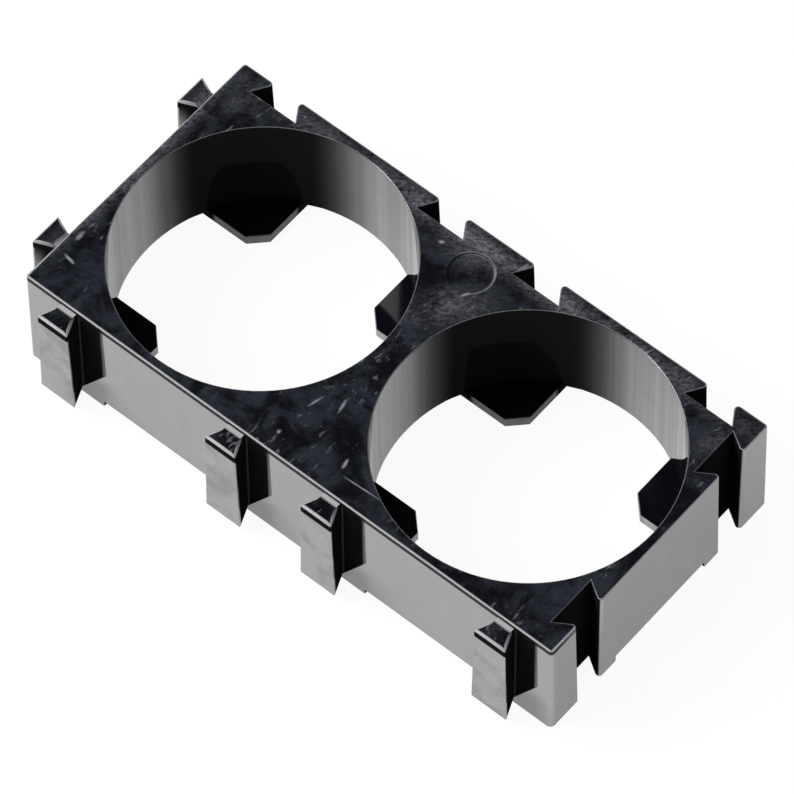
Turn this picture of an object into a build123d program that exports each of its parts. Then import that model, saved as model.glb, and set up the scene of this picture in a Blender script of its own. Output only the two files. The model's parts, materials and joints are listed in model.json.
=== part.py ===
from build123d import *
import math
import os

# Moulded spacer bracket that holds two cylindrical cells side by side and upright.
# It is one piece of plastic: a block with a bore for each cell, four stop lugs that carry
# each cell's rim, feet at the corners of each cell's square that leave crossing channels for
# the nickel strip under the cells, and dovetails that link brackets into a pack. Tabs stand
# out of the -X and -Y sides, and slots of the same form are cut into the +X and +Y sides.
# Millimetres, +Z up. While it is built, X = Y = 0 is the middle of the block and Z = 0 is the
# plane the feet stand on. At the end it is moved so that the origin is the middle of the
# whole footprint, tabs included.

# Cells
cell_count = 2
bore_diameter = 18.5
bore_web = 1.8           # left between two bores, also across a link to another bracket

# Block, measured at its base
block_height = 8.43
link_gap = 0.28          # left between the sides of two linked brackets
draft_angle = 0.8        # degrees, on the block's sides and the tabs
corner_radius = 0.35     # upright corners of the block
top_edge_radius = 0.1    # rolled edge round the top face

# Feet, strip channels and stop lugs
foot_height = 0.53
channel_width = 8.2
lug_thickness = 0.8      # from the feet's plane to the seat under the cell's rim
lug_tip_cut = 1.05       # chamfer on each lug's tip, along both of its sides

# Dovetail tabs, measured at their lower end
tab_width = 2.65         # across the tab's outer face
tab_neck = 1.4
tab_reach = 1.47
tab_root = 0.6           # how far the tab is sunk into the block, to join it
tab_top_drop = 0.25      # tab's top below the block's top
tab_lead_in = 0.15       # chamfer round the tab's top

# Dovetail slots, measured in the top face. The middle of a slot is a link's place, for tabs too
slot_width = 3.5         # across the slot's inner wall
slot_mouth = 1.75
slot_depth = 1.35
slot_draft = 0.4         # degrees
lip_radius = 0.25        # rounding of the slot's lips
post_web = 0.29          # how far the two slots at a corner stay apart, along X and along Y

# Ejector pin mark in the top face, between the bores
pin_mark_diameter = 2.85
pin_mark_depth = 0.12
pin_mark_y = 7.0

cell_pitch = bore_diameter + bore_web
block_length = cell_count * cell_pitch - link_gap
block_width = cell_pitch - link_gap
side_inset = block_height * math.tan(math.radians(draft_angle))
post_width = slot_depth + post_web
link_offset = block_width / 2 - side_inset - post_width - slot_width / 2
cell_x = [(i - (cell_count - 1) / 2) * cell_pitch for i in range(cell_count)]


def prism(points, height):
    """An upright prism over the closed outline through the points."""
    return extrude(make_face(Polyline(*points, close=True)), height)


def drafted(solid, neutral_z, angle):
    """The solid with its upright walls leaning in by angle above the plane at neutral_z."""
    walls = solid.faces().filter_by(lambda face: abs(face.normal_at().Z) < 0.5)
    return draft(walls, Plane((0, 0, neutral_z)), angle)


def block():
    """The drafted block, with its upright corners rounded."""
    outline = RectangleRounded(block_length, block_width, corner_radius)
    return drafted(extrude(outline, block_height), 0, draft_angle)


def strip_channels():
    """The channels under the cells, one along the row and one across it under each cell."""
    along = Box(2 * block_length, channel_width, 2 * foot_height)
    across = Box(channel_width, 2 * block_width, 2 * foot_height)
    return [along] + [Pos(x, 0, 0) * across for x in cell_x]


def bore():
    """The cutter for one cell's bore, from the seat on its lugs up through the top face."""
    return extrude(Pos(0, 0, lug_thickness) * Circle(bore_diameter / 2), block_height)


def window():
    """The cutter for the opening below a bore: all but its four lugs, flared down by the draft."""
    tip_square = math.sqrt(2) * (channel_width + lug_tip_cut)
    outline = (
        Rectangle(channel_width, 2 * bore_diameter)
        + Rectangle(2 * bore_diameter, channel_width)
        + Rot(0, 0, 45) * Rectangle(tip_square, tip_square)
    )
    flare = lug_thickness * math.tan(math.radians(draft_angle))
    cone = Cone(bore_diameter / 2 + flare, bore_diameter / 2, lug_thickness)
    return extrude(outline, lug_thickness) & Pos(0, 0, lug_thickness / 2) * cone

def tab():
    """One dovetail tab on a side wall in the XZ plane, its root sunk into the block at +Y."""
    height = block_height - tab_top_drop - foot_height
    outline = [
        (-tab_neck / 2, tab_root), (-tab_neck / 2, 0), (-tab_width / 2, -tab_reach),
        (tab_width / 2, -tab_reach), (tab_neck / 2, 0), (tab_neck / 2, tab_root),
    ]
    solid = Pos(0, 0, foot_height) * prism(outline, height)
    solid = drafted(solid, foot_height, draft_angle)
    top = solid.faces().sort_by(Axis.Z)[-1]
    rim = top.edges().filter_by(lambda edge: edge.center().Y < 0)
    return chamfer(rim, tab_lead_in)


def slot():
    """The cutter for one dovetail slot in a side wall in the XZ plane, the block at +Y."""
    flank = (slot_width - slot_mouth) / 2 / slot_depth
    inner_y = side_inset + slot_depth
    outer_y = -side_inset
    outer_width = slot_width - 2 * flank * (inner_y - outer_y)
    outline = [
        (-outer_width / 2, outer_y), (-slot_width / 2, inner_y),
        (slot_width / 2, inner_y), (outer_width / 2, outer_y),
    ]
    return drafted(prism(outline, block_height), block_height, -slot_draft)


def along_side(piece, side):
    """Copies of a tab or slot on the -Y or +Y side of the block, two for each cell."""
    turn = Rot(0, 0, 0 if side < 0 else 180)
    places = [x + offset for x in cell_x for offset in (-link_offset, link_offset)]
    return [Pos(x, side * block_width / 2, 0) * turn * piece for x in places]


def along_end(piece, side):
    """Copies of a tab or slot on the -X or +X end of the block, two on each."""
    turn = Rot(0, 0, -90 if side < 0 else 90)
    return [Pos(side * block_length / 2, y, 0) * turn * piece for y in (-link_offset, link_offset)]


def is_lip(edge):
    """True for an upright edge where a slot's mouth meets the block's +X or +Y side."""
    middle = edge.center()
    if edge.length < block_height / 2:
        return False
    if abs(middle.X - block_length / 2) < side_inset:
        return abs(abs(middle.Y) - link_offset) < slot_width / 2
    if abs(middle.Y - block_width / 2) < side_inset:
        return min(abs(abs(middle.X - x) - link_offset) for x in cell_x) < slot_width / 2
    return False


def bracket():
    """The whole bracket, its origin at the middle of its footprint on the feet's plane."""
    body = block()
    for channel in strip_channels():
        body -= channel
    for x in cell_x:
        body -= Pos(x, 0, 0) * bore()
        body -= Pos(x, 0, 0) * window()
    for cutter in along_side(slot(), 1) + along_end(slot(), 1):
        body -= cutter
    body = fillet(body.edges().filter_by(is_lip), lip_radius)
    rim = body.faces().sort_by(Axis.Z)[-1].outer_wire().edges()
    body = fillet(rim, top_edge_radius)
    for link in along_side(tab(), -1) + along_end(tab(), -1):
        body += link
    pin_mark = Cylinder(pin_mark_diameter / 2, 2 * pin_mark_depth)
    body -= Pos(0, pin_mark_y, block_height) * pin_mark
    return Pos(tab_reach / 2, tab_reach / 2, 0) * body


part = bracket()
os.makedirs("parts", exist_ok=True)
export_step(part, "parts/bracket.step")
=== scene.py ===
"""Looks for the two-cell spacer bracket: its moulded plastic, the floor, the light and the view."""

import json
import math

import bmesh
import bpy
from mathutils import Matrix, Vector


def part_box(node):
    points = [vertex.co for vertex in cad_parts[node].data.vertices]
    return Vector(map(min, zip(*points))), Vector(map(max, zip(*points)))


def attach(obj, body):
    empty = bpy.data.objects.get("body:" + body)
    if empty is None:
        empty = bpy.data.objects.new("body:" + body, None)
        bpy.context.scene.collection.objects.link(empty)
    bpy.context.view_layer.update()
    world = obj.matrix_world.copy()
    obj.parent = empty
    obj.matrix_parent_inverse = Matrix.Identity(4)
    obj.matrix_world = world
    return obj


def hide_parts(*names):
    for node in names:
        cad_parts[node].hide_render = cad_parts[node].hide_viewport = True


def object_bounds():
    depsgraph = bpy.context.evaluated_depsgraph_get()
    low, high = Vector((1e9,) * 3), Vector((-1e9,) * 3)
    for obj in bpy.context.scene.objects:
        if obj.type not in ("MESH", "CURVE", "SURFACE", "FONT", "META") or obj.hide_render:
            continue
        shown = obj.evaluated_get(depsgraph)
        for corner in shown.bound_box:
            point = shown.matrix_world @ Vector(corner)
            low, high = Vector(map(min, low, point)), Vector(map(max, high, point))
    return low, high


bl_info = {
    "name": "Battery Cell Holder Bracket",
    "version": (1, 0, 0),
    "blender": (4, 5, 0),
    "location": "3D View > Sidebar > Bracket",
    "description": "Finishes a moulded two-cell spacer bracket and sets up its studio",
    "category": "Object",
}

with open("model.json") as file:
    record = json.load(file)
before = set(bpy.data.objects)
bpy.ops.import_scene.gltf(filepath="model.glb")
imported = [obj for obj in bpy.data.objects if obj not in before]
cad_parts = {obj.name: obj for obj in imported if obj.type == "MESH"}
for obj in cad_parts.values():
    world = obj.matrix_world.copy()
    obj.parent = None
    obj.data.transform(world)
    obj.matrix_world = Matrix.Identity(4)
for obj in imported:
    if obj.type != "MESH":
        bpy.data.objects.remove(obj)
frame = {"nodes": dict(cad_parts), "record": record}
cad_box = [list(corner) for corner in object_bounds()]

MM = 0.001
BODY = "root"
NODE = "bracket"
BLOCK_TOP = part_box(NODE)[1].z
BORES = [mount for mount in frame["record"]["mounts"] if mount["kind"] == "bore"]
BORE_RADIUS = BORES[0]["dims"]["r_mm"] * MM
BORE_AXES = [bore["pos_m"][:2] for bore in BORES]
# The round ejector pin mark lies between the bores, towards the back
PIN_RADIUS = 1.425 * MM
PIN_BACK = 7.0 * MM
PIN_MARK = ((BORE_AXES[0][0] + BORE_AXES[1][0]) / 2, BORE_AXES[0][1] + PIN_BACK, 0)
# Reach of the tabs beyond the front and left walls, and where the left end's wall stands
TAB_REACH = 1.47 * MM
END_WALL = cad_box[0][0] + TAB_REACH
# Dividing Z by this leaves a vector flat, for lengths and noise that don't change with height
FLAT = 1e6

# Edges sharper than the first angle are rounded and those sharper than the second stay crisp
ROUNDED_ANGLE = math.radians(50)
CRISP_ANGLE = math.radians(41)
FLAT_ANGLE = math.radians(0.3)
MERGE_DISTANCE = 0.001 * MM

MOTTLE_COLOUR = (0.012, 0.0138, 0.0195, 1)
# Colour of the dust flecks on the top face, which also paint sheen there
DUST_AND_SHEEN_COLOUR = (0.1, 0.1, 0.113, 1)
WHITE = (1, 1, 1, 1)
LAMP_PLACE = Vector((-0.434, -0.294, 0.466))
LAMP_SIZE = 0.45
VIEW_AIM = Vector((1.110, 0.459, 4.0)) * MM

# Scuffs on the top face: middle X and Y, direction in degrees, length and width in millimetres,
# and strength from 0 to 1
SCUFFS = (
    (-0.51, -4.87, 75, 0.95, 0.16, 0.8),
    (0.90, -4.14, 103, 1.0, 0.2, 0.75),
    (-0.83, -7.78, 80, 0.3, 0.26, 0.9),
    (3.57, -7.0, 102, 0.7, 0.22, 0.9),
    (5.36, -7.66, 3, 2.6, 0.1, 0.8),
    (-1.99, 8.3, 30, 0.4, 0.26, 0.9),
    (1.47, 6.37, 62, 0.8, 0.16, 0.9),
    (-18.1, -6.6, -8, 0.85, 0.22, 1.0),
    (-18.7, -5.0, 95, 0.8, 0.3, 0.7),
    (-16.9, 9.3, 10, 0.5, 0.3, 1.0),
    (17.6, 6.4, 75, 0.8, 0.18, 1.0),
)
# Duller, dusty areas of the top face, partly painted sheen, most of all the strips along its left
# and back edges: middle X and Y, direction, length, width and strength
DUST_AND_SHEEN_PATCHES = (
    (0.9, 4.8, 47, 5.6, 2.4, 1.2),
    (0.2, 8.9, 15, 5.0, 2.0, 0.8),
    (-17.8, 8.2, 45, 4.0, 2.0, 0.4),
    (-19.5, 1.5, 90, 15.0, 1.5, 2.4),
    (2.0, 9.6, 0, 38.0, 1.7, 1.9),
    (19.2, 7.8, 60, 2.6, 2.0, 0.6),
)


class Wire:
    """A value in a material, with the arithmetic written as Python operators."""

    def __init__(self, tree, socket):
        self.tree = tree
        self.socket = socket

    def _math(self, operation, *values):
        return self.tree.node("ShaderNodeMath", {"operation": operation}, dict(enumerate(values)))

    def __add__(self, other):
        return self._math("ADD", self, other)

    __radd__ = __add__

    def __sub__(self, other):
        return self._math("SUBTRACT", self, other)

    def __rsub__(self, other):
        return self._math("SUBTRACT", other, self)

    def __mul__(self, other):
        return self._math("MULTIPLY", self, other)

    __rmul__ = __mul__

    def __truediv__(self, other):
        return self._math("DIVIDE", self, other)

    def __abs__(self):
        return self._math("ABSOLUTE", self)

    def larger(self, other):
        """The larger of this value and another."""
        return self._math("MAXIMUM", self, other)

    def rise(self, start, end):
        """0 below start and 1 above end, or the other way round where end is the lower."""
        values = {"Value": self, "From Min": start, "From Max": end}
        return self.tree.node("ShaderNodeMapRange", {"interpolation_type": "SMOOTHSTEP"}, values)


class Tree:
    """The nodes of one material or world."""

    def __init__(self, owner):
        owner.use_nodes = True
        self.nodes = owner.node_tree.nodes
        self.links = owner.node_tree.links
        self.nodes.clear()

    def node(self, kind, settings=None, values=None, output=0):
        """Adds a node, with its settings first and then its inputs' values or links."""
        made = self.nodes.new(kind)
        for name, setting in (settings or {}).items():
            setattr(made, name, setting)
        for key, value in (values or {}).items():
            if isinstance(value, Wire):
                self.links.new(value.socket, made.inputs[key])
            else:
                made.inputs[key].default_value = value
        return Wire(self, made.outputs[output]) if made.outputs else made

    def blend(self, mask, first, second):
        """The first colour where the mask is 0 and the second where it is 1."""
        settings = {"data_type": "RGBA"}
        return self.node("ShaderNodeMix", settings, {0: mask, 6: first, 7: second}, output=2)

    def part(self, vector, axis):
        """The X, Y or Z part of a vector."""
        return self.node("ShaderNodeSeparateXYZ", {}, {0: vector}, output=axis)

    def length(self, vector):
        """The length of a vector."""
        return self.node("ShaderNodeVectorMath", {"operation": "LENGTH"}, {0: vector}, output=1)

    def placed(self, vector, location=(0, 0, 0), angle=0.0, scale=(1, 1, 1)):
        """A vector as seen from a place, turned about Z and divided by a scale."""
        settings = {"vector_type": "TEXTURE"}
        values = {"Vector": vector, "Location": location, "Rotation": (0, 0, angle), "Scale": scale}
        return self.node("ShaderNodeMapping", settings, values)

    def noise(self, vector, scale, detail=2.0, roughness=0.5, distortion=0.0):
        """Soft noise between 0 and 1, with scale in patches per unit of the vector."""
        values = {
            "Vector": vector,
            "Scale": scale,
            "Detail": detail,
            "Roughness": roughness,
            "Distortion": distortion,
        }
        return self.node("ShaderNodeTexNoise", {}, values)


class PlasticFinish(bpy.types.PropertyGroup):
    """The bracket's moulded plastic."""

    edge_radius: bpy.props.FloatProperty(
        name="Edge radius",
        description="Rounding of the mould's sharp edges",
        default=0.07 * MM,
        unit="LENGTH",
    )
    wall_colour: bpy.props.FloatVectorProperty(
        name="Wall colour",
        description="Colour of the plastic on the side walls",
        default=(0.006, 0.006, 0.0065),
        subtype="COLOR",
    )
    top_colour: bpy.props.FloatVectorProperty(
        name="Top colour",
        description="Colour of the plastic on the faces that point up",
        default=(0.002, 0.0024, 0.004),
        subtype="COLOR",
    )
    # Also the colour of the painted highlight on the pin mark's edge
    scuff_and_highlight_colour: bpy.props.FloatVectorProperty(
        name="Scuff colour",
        description="Colour of the dusty scuffs on the top face",
        default=(0.17, 0.175, 0.195),
        subtype="COLOR",
    )
    # Colour of the painted highlight on the rounded edges and along the top's outer edges
    edge_highlight_colour: bpy.props.FloatVectorProperty(
        name="Rim colour",
        description="Colour of the burnished line along the top edges",
        default=(0.36, 0.365, 0.37),
        subtype="COLOR",
    )
    wall_roughness: bpy.props.FloatProperty(
        name="Wall roughness",
        description="Roughness of the polished side walls",
        default=0.1,
        min=0.0,
        max=1.0,
    )
    top_roughness: bpy.props.FloatProperty(
        name="Top roughness",
        description="Roughness of the faces that point up",
        default=0.3,
        min=0.0,
        max=1.0,
    )
    plastic_index: bpy.props.FloatProperty(
        name="Plastic index",
        description="Refractive index of the plastic",
        default=1.5,
        min=1.0,
        max=3.0,
    )
    skin_index: bpy.props.FloatProperty(
        name="Skin index",
        description="Refractive index of the polished skin on the outer walls",
        default=4.0,
        min=1.0,
        max=4.0,
    )


class StudioSetup(bpy.types.PropertyGroup):
    """The floor, the light and the view."""

    floor_width: bpy.props.FloatProperty(
        name="Floor width",
        description="Width of the pale floor",
        default=3.0,
        unit="LENGTH",
    )
    floor_glow: bpy.props.FloatProperty(
        name="Floor glow",
        description="Share of plain white in the floor's own look, over its light and shadow",
        default=0.93,
        min=0.0,
        max=1.0,
        subtype="FACTOR",
    )
    mirrored_glow: bpy.props.FloatProperty(
        name="Mirrored glow",
        description="Share of plain white in the floor where it is seen in glossy plastic",
        default=0.6,
        min=0.0,
        max=1.0,
        subtype="FACTOR",
    )
    soft_level: bpy.props.FloatProperty(
        name="Soft level",
        description="Soft light that falls from all round",
        default=0.68,
    )
    horizon_level: bpy.props.FloatProperty(
        name="Horizon level",
        description="Brightness of the room near the horizon, as glossy plastic shows it",
        default=0.35,
    )
    ceiling_level: bpy.props.FloatProperty(
        name="Ceiling level",
        description="Brightness of the room overhead, as glossy plastic shows it",
        default=0.06,
    )
    lamp_power: bpy.props.FloatProperty(
        name="Lamp power",
        description="Power of the large soft lamp at the front left",
        default=7.0,
        unit="POWER",
    )
    azimuth: bpy.props.FloatProperty(
        name="Azimuth",
        description="Direction that the view comes from, round the object from its front",
        default=math.radians(41.27),
        subtype="ANGLE",
    )
    elevation: bpy.props.FloatProperty(
        name="Elevation",
        description="Height of the view above the horizon",
        default=math.radians(57.986),
        subtype="ANGLE",
    )
    roll: bpy.props.FloatProperty(
        name="Roll",
        description="Turn of the view about its own axis",
        default=math.radians(-1.366),
        subtype="ANGLE",
    )
    distance: bpy.props.FloatProperty(
        name="Distance",
        description="From the view's point to the camera",
        default=404.35 * MM,
        unit="LENGTH",
    )
    focal_length: bpy.props.FloatProperty(
        name="Focal length",
        description="Lens of the camera, in millimetres",
        default=311.45,
    )


def moulded_mesh(finish):
    """The bracket's solid with its flats whole and its free outer edges rounded."""
    solid = bmesh.new()
    solid.from_mesh(frame["nodes"][NODE].data)
    bmesh.ops.remove_doubles(solid, verts=solid.verts, dist=MERGE_DISTANCE)
    bmesh.ops.dissolve_limit(
        solid, angle_limit=FLAT_ANGLE, verts=solid.verts, edges=solid.edges
    )
    sharp = {edge for edge in solid.edges if edge.calc_face_angle(0) > ROUNDED_ANGLE}
    kept = {corner for edge in sharp if not edge.is_convex for corner in edge.verts}
    shortest = 2 * finish.edge_radius
    for edge in solid.edges:
        if edge.calc_length() < shortest:
            kept.update(edge.verts)
    free = [edge for edge in solid.edges if edge in sharp and not kept & set(edge.verts)]
    bmesh.ops.bevel(
        solid,
        geom=free,
        offset=finish.edge_radius,
        offset_type="OFFSET",
        segments=3,
        profile=0.5,
        affect="EDGES",
        clamp_overlap=False,
    )
    for face in solid.faces:
        face.smooth = True
    for edge in solid.edges:
        edge.smooth = edge.calc_face_angle(0) < CRISP_ANGLE
    mesh = bpy.data.meshes.new("moulded_bracket")
    solid.to_mesh(mesh)
    solid.free()
    return mesh


def plastic_material(finish):
    """Black moulded plastic: polished walls, and satin tops with short pale scuffs."""
    material = bpy.data.materials.new("moulded_black_plastic")
    tree = Tree(material)
    place = tree.node("ShaderNodeTexCoord", {}, {}, output=3)
    facing = tree.node("ShaderNodeNewGeometry", {}, {}, output=1)
    upright = tree.part(facing, 2)
    up = upright.rise(0.6, 0.95)
    height = tree.part(place, 2)
    top = up * height.rise(0.9 * BLOCK_TOP, 0.985 * BLOCK_TOP)
    reach, outward = past_wall(tree, place, facing)
    front = tree.part(place, 1).rise(-4 * MM, -9 * MM)

    slanting = tree.placed(place, angle=math.radians(35), scale=(1.7, 1.0, 1.0))
    grain = tree.noise(slanting, 5200.0, detail=3.0, roughness=0.6, distortion=0.5)
    cloud = tree.noise(place, 520.0, detail=5.0, roughness=0.65, distortion=0.5)
    lengthwise = tree.placed(place, angle=math.radians(84), scale=(2.6, 1.0, 1.0))
    strokes = tree.noise(lengthwise, 4200.0, detail=1.5, roughness=0.5, distortion=0.4)
    patches = tree.noise(place, 420.0, detail=2.0)
    fine_scuffs = strokes.rise(0.6, 0.73) * patches.rise(0.45, 0.66)
    # Dust patches on the top face, with painted sheen in the strips along its left and back edges
    dust_and_sheen = marks(tree, place, DUST_AND_SHEEN_PATCHES, 1.4, cloud)
    scuffs = (marks(tree, place, SCUFFS, 0.7, grain) + fine_scuffs * (0.4 + dust_and_sheen * 0.3)) * top
    # Dust flecks, densest in those patches, so they also paint the sheen
    dust_and_sheen_flecks = grain.rise(0.22, 0.8) * (cloud.rise(0.35, 0.65) * 0.8 + 0.25) * (0.08 + dust_and_sheen) * top
    # A painted highlight on the edge of the pin mark
    pin_highlight = pin_edge_highlight(tree, place) * top

    # The rounded edges get a painted highlight, most of all along the outside of the block
    rounded = upright.rise(0.5, 0.86) * upright.rise(0.999, 0.97)
    painted_edge_highlight = rounded * (0.25 + reach.rise(-0.6 * MM, -0.2 * MM) * 0.45)
    # A painted highlight lies on the top face along its outer edges, strongest at the front
    brim = reach.rise(-0.3 * MM, -0.18 * MM) * reach.rise(0.3 * MM, 0.1 * MM)
    painted_front_highlight = brim * (front * 0.85 + 0.05) * top

    plain = tree.blend(up, (*finish.wall_colour, 1), (*finish.top_colour, 1))
    mottled = tree.blend(cloud.rise(0.38, 0.66) * top, plain, MOTTLE_COLOUR)
    dusted_and_sheened = tree.blend(dust_and_sheen_flecks, mottled, DUST_AND_SHEEN_COLOUR)
    # The scuffs and the painted highlight on the pin mark's edge take one colour
    scuffed_and_highlit = tree.blend(scuffs.larger(pin_highlight), dusted_and_sheened, (*finish.scuff_and_highlight_colour, 1))
    colour = tree.blend(painted_edge_highlight.larger(painted_front_highlight), scuffed_and_highlit, (*finish.edge_highlight_colour, 1))

    satin = finish.top_roughness - finish.wall_roughness
    roughness = up * satin + finish.wall_roughness + cloud.rise(0.3, 0.8) * 0.05 + scuffs * 0.2
    relief = grain * up * 0.6 + cloud * up * 0.5 + scuffs * 0.8
    bump_values = {"Strength": 0.25, "Distance": 0.012 * MM, "Height": relief}
    bump = tree.node("ShaderNodeBump", {}, bump_values)
    values = {
        "Base Color": colour,
        "Roughness": roughness,
        "IOR": finish.plastic_index,
        "Specular IOR Level": 0.0,
        "Coat Weight": skin_weight(tree, place, up, cloud, grain, reach, outward, front),
        "Coat Roughness": 0.06,
        "Coat IOR": finish.skin_index,
        "Normal": bump,
    }
    shader = tree.node("ShaderNodeBsdfPrincipled", {}, values)
    tree.node("ShaderNodeOutputMaterial", {}, {"Surface": shader})
    return material


def marks(tree, place, rows, fade, ragged):
    """Soft ovals on the top face, with ragged edges, each as strong as its row says."""
    total = None
    jagged = (ragged - 0.5) * 1.6
    for x, y, degrees, length, width, strength in rows:
        oval = tree.placed(
            place,
            location=(x * MM, y * MM, 0),
            angle=math.radians(degrees),
            scale=(length / 2 * MM, width / 2 * MM, FLAT),
        )
        mark = (tree.length(oval) + jagged).rise(1.0 + fade / 2, 1.0 - fade) * strength
        total = mark if total is None else total.larger(mark)
    return total


def pin_edge_highlight(tree, place):
    """A painted highlight on the edge of the ejector pin's mark, at its back and right."""
    middle = tree.placed(place, location=PIN_MARK, scale=(PIN_RADIUS, PIN_RADIUS, FLAT))
    edge = abs(tree.length(middle) - 1.0).rise(0.09, 0.02)
    back = tree.part(middle, 1).rise(0.1, 0.8) * 0.5
    right = tree.part(middle, 0).rise(0.4, 0.9) * 0.5
    return edge * (back + right)


def past_wall(tree, place, facing):
    """How far a point is beyond the block's upright walls, and 1 where it faces straight out."""
    low, high = (Vector(corner) for corner in cad_box)
    low += Vector((TAB_REACH, TAB_REACH, 0))
    centre = (low + high) / 2
    half = (high - low) / 2
    in_x = abs(tree.part(place, 0) - centre.x) - half.x
    in_y = abs(tree.part(place, 1) - centre.y) - half.y
    at_end = (in_x - in_y).rise(-0.02 * MM, 0.02 * MM)
    outward = abs(tree.part(facing, 0)) * at_end + abs(tree.part(facing, 1)) * (1 - at_end)
    return in_x.larger(in_y), outward.rise(0.3, 0.65)


def skin_weight(tree, place, up, cloud, grain, reach, outward, front):
    """Where the mould's polish shows: outer walls and bores, but not recesses or undercuts; its
    lack paints shade under the front rim and about one bore diagonal.
    """
    height = tree.part(place, 2)
    wall = reach.rise(-0.4 * MM, -0.25 * MM) * reach.rise(0.14 * MM, 0.08 * MM) * outward
    # Painted shade: a dark line runs under the front rim, where the polish is taken off
    shaded = height.rise(8.02 * MM, 8.14 * MM) * front * 0.9
    # The tabs' faces are polished up to the lead-in at their tops
    tab_face = reach.rise(1.2 * MM, 1.3 * MM) * height.rise(7.52 * MM, 7.4 * MM)
    tab_face = tab_face * (cloud.rise(0.3, 0.62) * 0.3 + 0.75)
    # The flanks of the left end's tabs are half polished, more so lower down and farther out
    end_flank = tree.part(place, 0).rise(END_WALL - 0.5 * MM, END_WALL - 1.2 * MM)
    end_flank = end_flank * height.rise(7.8 * MM, 5.5 * MM) * 0.45
    outer = (wall * (1 - shaded)).larger(tab_face).larger(end_flank)

    # Each bore is streaked upright, has its polish taken off about one diagonal as painted shade,
    # and is half bright on its lugs' tips
    column = tree.placed(place, scale=(1, 1, FLAT))
    streaks = tree.noise(column, 1300.0, detail=3.0, roughness=0.6).rise(0.3, 0.7) * 0.22 + 0.86
    for x, y in BORE_AXES:
        flat = tree.placed(place, location=(x, y, 0), scale=(BORE_RADIUS, BORE_RADIUS, FLAT))
        away = tree.length(flat)
        diagonal = abs(tree.part(flat, 0) - tree.part(flat, 1)) / away * math.sqrt(0.5)
        tip = away.rise(0.96, 0.92) * 0.4
        bore_wall = (diagonal.rise(0.93, 0.6) * 0.99 + 0.01).larger(tip)
        inside = away.rise(1.06, 1.02)
        outer = outer * (1 - inside) + bore_wall * streaks * inside
    wear = cloud.rise(0.35, 0.7) * 0.04 + grain.rise(0.25, 0.75) * 0.06
    polished = outer * (1 - up) * (1 - wear)
    return polished.larger(up * 0.035)


def ray(tree, kind):
    """1 for rays of one kind: 0 from the camera, 3 glossy, 6 through glass."""
    return tree.node("ShaderNodeLightPath", {}, {}, output=kind)


def floor_material(setup):
    """Plain white floor that keeps the shadow of what stands on it."""
    material = bpy.data.materials.new("white_floor")
    tree = Tree(material)
    values = {"Base Color": (0.86, 0.86, 0.86, 1), "Roughness": 0.7, "Specular IOR Level": 0.1}
    lit = tree.node("ShaderNodeBsdfPrincipled", {}, values)
    glow = tree.node("ShaderNodeEmission", {}, {"Color": WHITE, "Strength": 1.0})
    mirrored = ray(tree, 3).larger(ray(tree, 6)) * setup.mirrored_glow
    fac = mirrored.larger(ray(tree, 0) * setup.floor_glow)
    surface = tree.node("ShaderNodeMixShader", {}, {0: fac, 1: lit, 2: glow})
    tree.node("ShaderNodeOutputMaterial", {}, {"Surface": surface})
    return material


def studio_world(setup):
    """A pale room with a dark ceiling, plain white where the camera looks at it."""
    world = bpy.data.worlds.new("studio_room")
    bpy.context.scene.world = world
    tree = Tree(world)
    direction = tree.node("ShaderNodeTexCoord", {}, {}, output=0)
    low = tree.part(direction, 2).rise(0.3, 0.0)
    room = low * (setup.horizon_level - setup.ceiling_level) + setup.ceiling_level
    glossy = ray(tree, 3)
    light = glossy * room + (1 - glossy) * setup.soft_level
    seen = ray(tree, 0).larger(ray(tree, 6))
    strength = seen + (1 - seen) * light
    values = {"Color": WHITE, "Strength": strength}
    background = tree.node("ShaderNodeBackground", {}, values)
    tree.node("ShaderNodeOutputWorld", {}, {"Surface": background})


def soft_lamp(name, location, target, size, power):
    """Adds a square soft lamp that points at a target."""
    lamp = bpy.data.lights.new(name, "AREA")
    lamp.shape = "SQUARE"
    lamp.size = size
    lamp.energy = power
    holder = bpy.data.objects.new(name, lamp)
    holder.location = location
    holder.rotation_mode = "QUATERNION"
    holder.rotation_quaternion = (target - location).to_track_quat("-Z", "Y")
    bpy.context.scene.collection.objects.link(holder)


class BRACKET_OT_finish_plastic(bpy.types.Operator):
    """Rounds the bracket's sharp edges and gives it its moulded plastic"""

    bl_idname = "bracket.finish_plastic"
    bl_label = "Finish the Plastic"

    def execute(self, context):
        finish = context.scene.bracket_plastic
        mesh = moulded_mesh(finish)
        mesh.materials.append(plastic_material(finish))
        bracket = bpy.data.objects.new("moulded_bracket", mesh)
        context.scene.collection.objects.link(bracket)
        shading = bracket.modifiers.new("even_shading", "WEIGHTED_NORMAL")
        shading.weight = 50
        shading.keep_sharp = True
        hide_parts(NODE)
        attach(bracket, BODY)
        return {"FINISHED"}


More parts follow.
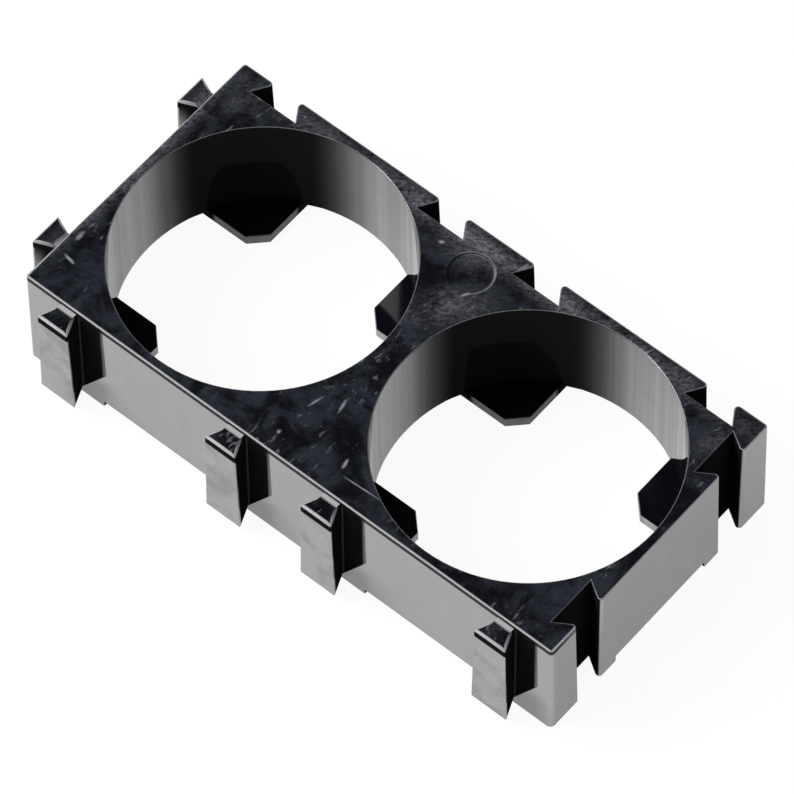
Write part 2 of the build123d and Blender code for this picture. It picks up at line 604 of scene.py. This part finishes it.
class BRACKET_OT_set_stage(bpy.types.Operator):
    """Adds the floor, the room, the lamp and the camera"""

    bl_idname = "bracket.set_stage"
    bl_label = "Set the Stage"

    def execute(self, context):
        setup = context.scene.bracket_studio
        self.add_floor(setup)
        studio_world(setup)
        target = Vector((0, 0, BLOCK_TOP / 2))
        soft_lamp("side_lamp", LAMP_PLACE, target, LAMP_SIZE, setup.lamp_power)
        self.add_camera(setup)
        context.scene.view_settings.view_transform = "Standard"
        return {"FINISHED"}

    def add_floor(self, setup):
        half = setup.floor_width / 2
        mesh = bpy.data.meshes.new("floor")
        corners = [(-half, -half, 0), (half, -half, 0), (half, half, 0), (-half, half, 0)]
        mesh.from_pydata(corners, [], [(0, 1, 2, 3)])
        mesh.materials.append(floor_material(setup))
        floor = bpy.data.objects.new("floor", mesh)
        bpy.context.scene.collection.objects.link(floor)

    def add_camera(self, setup):
        data = bpy.data.cameras.new("view")
        data.lens = setup.focal_length
        data.sensor_width = 36
        data.clip_start = 0.01
        data.clip_end = 10
        camera = bpy.data.objects.new("view", data)
        flat = math.cos(setup.elevation)
        back = Vector((
            math.sin(setup.azimuth) * flat,
            -math.cos(setup.azimuth) * flat,
            math.sin(setup.elevation),
        ))
        right = Vector((math.cos(setup.azimuth), math.sin(setup.azimuth), 0))
        up = back.cross(right)
        across = right * math.cos(setup.roll) + up * math.sin(setup.roll)
        along = up * math.cos(setup.roll) - right * math.sin(setup.roll)
        turn = Matrix((across, along, back)).transposed().to_4x4()
        camera.matrix_world = Matrix.Translation(VIEW_AIM + back * setup.distance) @ turn
        bpy.context.scene.collection.objects.link(camera)
        bpy.context.scene.camera = camera


class BRACKET_PT_panel(bpy.types.Panel):
    """Shows the bracket's two steps as buttons, each with its settings"""

    bl_idname = "BRACKET_PT_panel"
    bl_label = "Cell Holder Bracket"
    bl_space_type = "VIEW_3D"
    bl_region_type = "UI"
    bl_category = "Bracket"

    def draw(self, context):
        column = self.layout.column()
        groups = (
            (context.scene.bracket_plastic, BRACKET_OT_finish_plastic),
            (context.scene.bracket_studio, BRACKET_OT_set_stage),
        )
        for group, operator in groups:
            column.operator(operator.bl_idname)
            for name in group.__annotations__:
                column.prop(group, name)


CLASSES = (
    PlasticFinish,
    StudioSetup,
    BRACKET_OT_finish_plastic,
    BRACKET_OT_set_stage,
    BRACKET_PT_panel,
)


def register():
    for cls in CLASSES:
        bpy.utils.register_class(cls)
    bpy.types.Scene.bracket_plastic = bpy.props.PointerProperty(type=PlasticFinish)
    bpy.types.Scene.bracket_studio = bpy.props.PointerProperty(type=StudioSetup)


def unregister():
    del bpy.types.Scene.bracket_studio
    del bpy.types.Scene.bracket_plastic
    for cls in reversed(CLASSES):
        bpy.utils.unregister_class(cls)


def main():
    register()
    bpy.ops.bracket.finish_plastic()
    bpy.ops.bracket.set_stage()
    bpy.context.view_layer.update()


if __name__ == "__main__":
    main()
